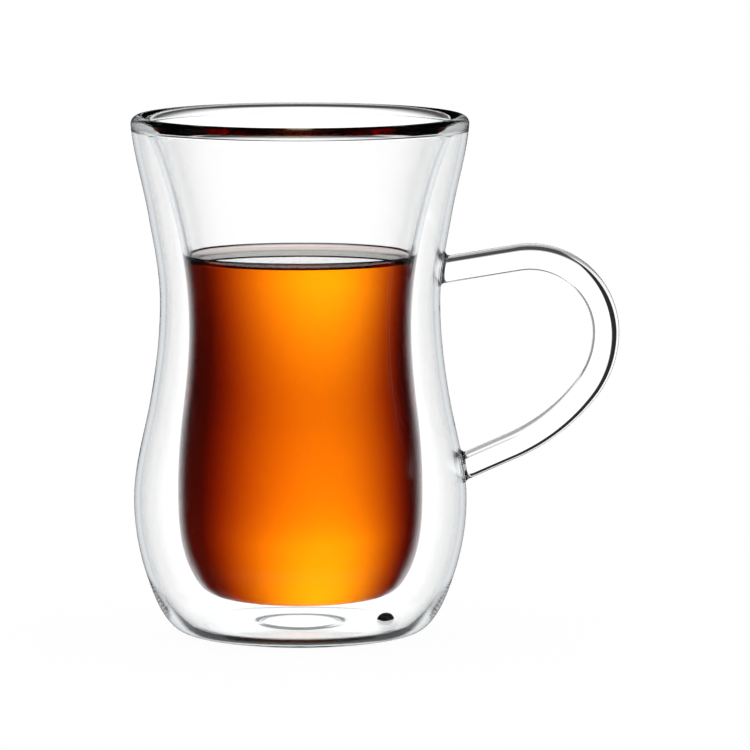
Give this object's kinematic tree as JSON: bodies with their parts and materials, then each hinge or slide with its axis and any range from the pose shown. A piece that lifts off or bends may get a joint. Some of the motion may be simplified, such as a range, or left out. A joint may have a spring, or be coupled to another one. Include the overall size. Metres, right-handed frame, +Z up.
{
  "type": "double-walled tea glass with tea",
  "caption": "Tulip-shaped double-walled clear glass with a bent glass rod handle, filled with amber tea to below the rim.",
  "frame": {"origin": "middle of the flat underside of the base, on the axis of the glass", "axes": "+Z up along the axis of the glass, +X from the axis towards the handle, whose rod lies in the plane Y = 0"},
  "size_m": [0.1011, 0.07, 0.1083],
  "materials": {
    "clear_glass": "smooth fire-polished clear borosilicate glass",
    "tea": "clear amber-brown tea",
    "seal": "matt dark silicone"
  },
  "bodies": {
    "root": {"glass": "clear_glass", "tea": "tea", "vent_seal": "seal"}
  },
  "joints": []
}
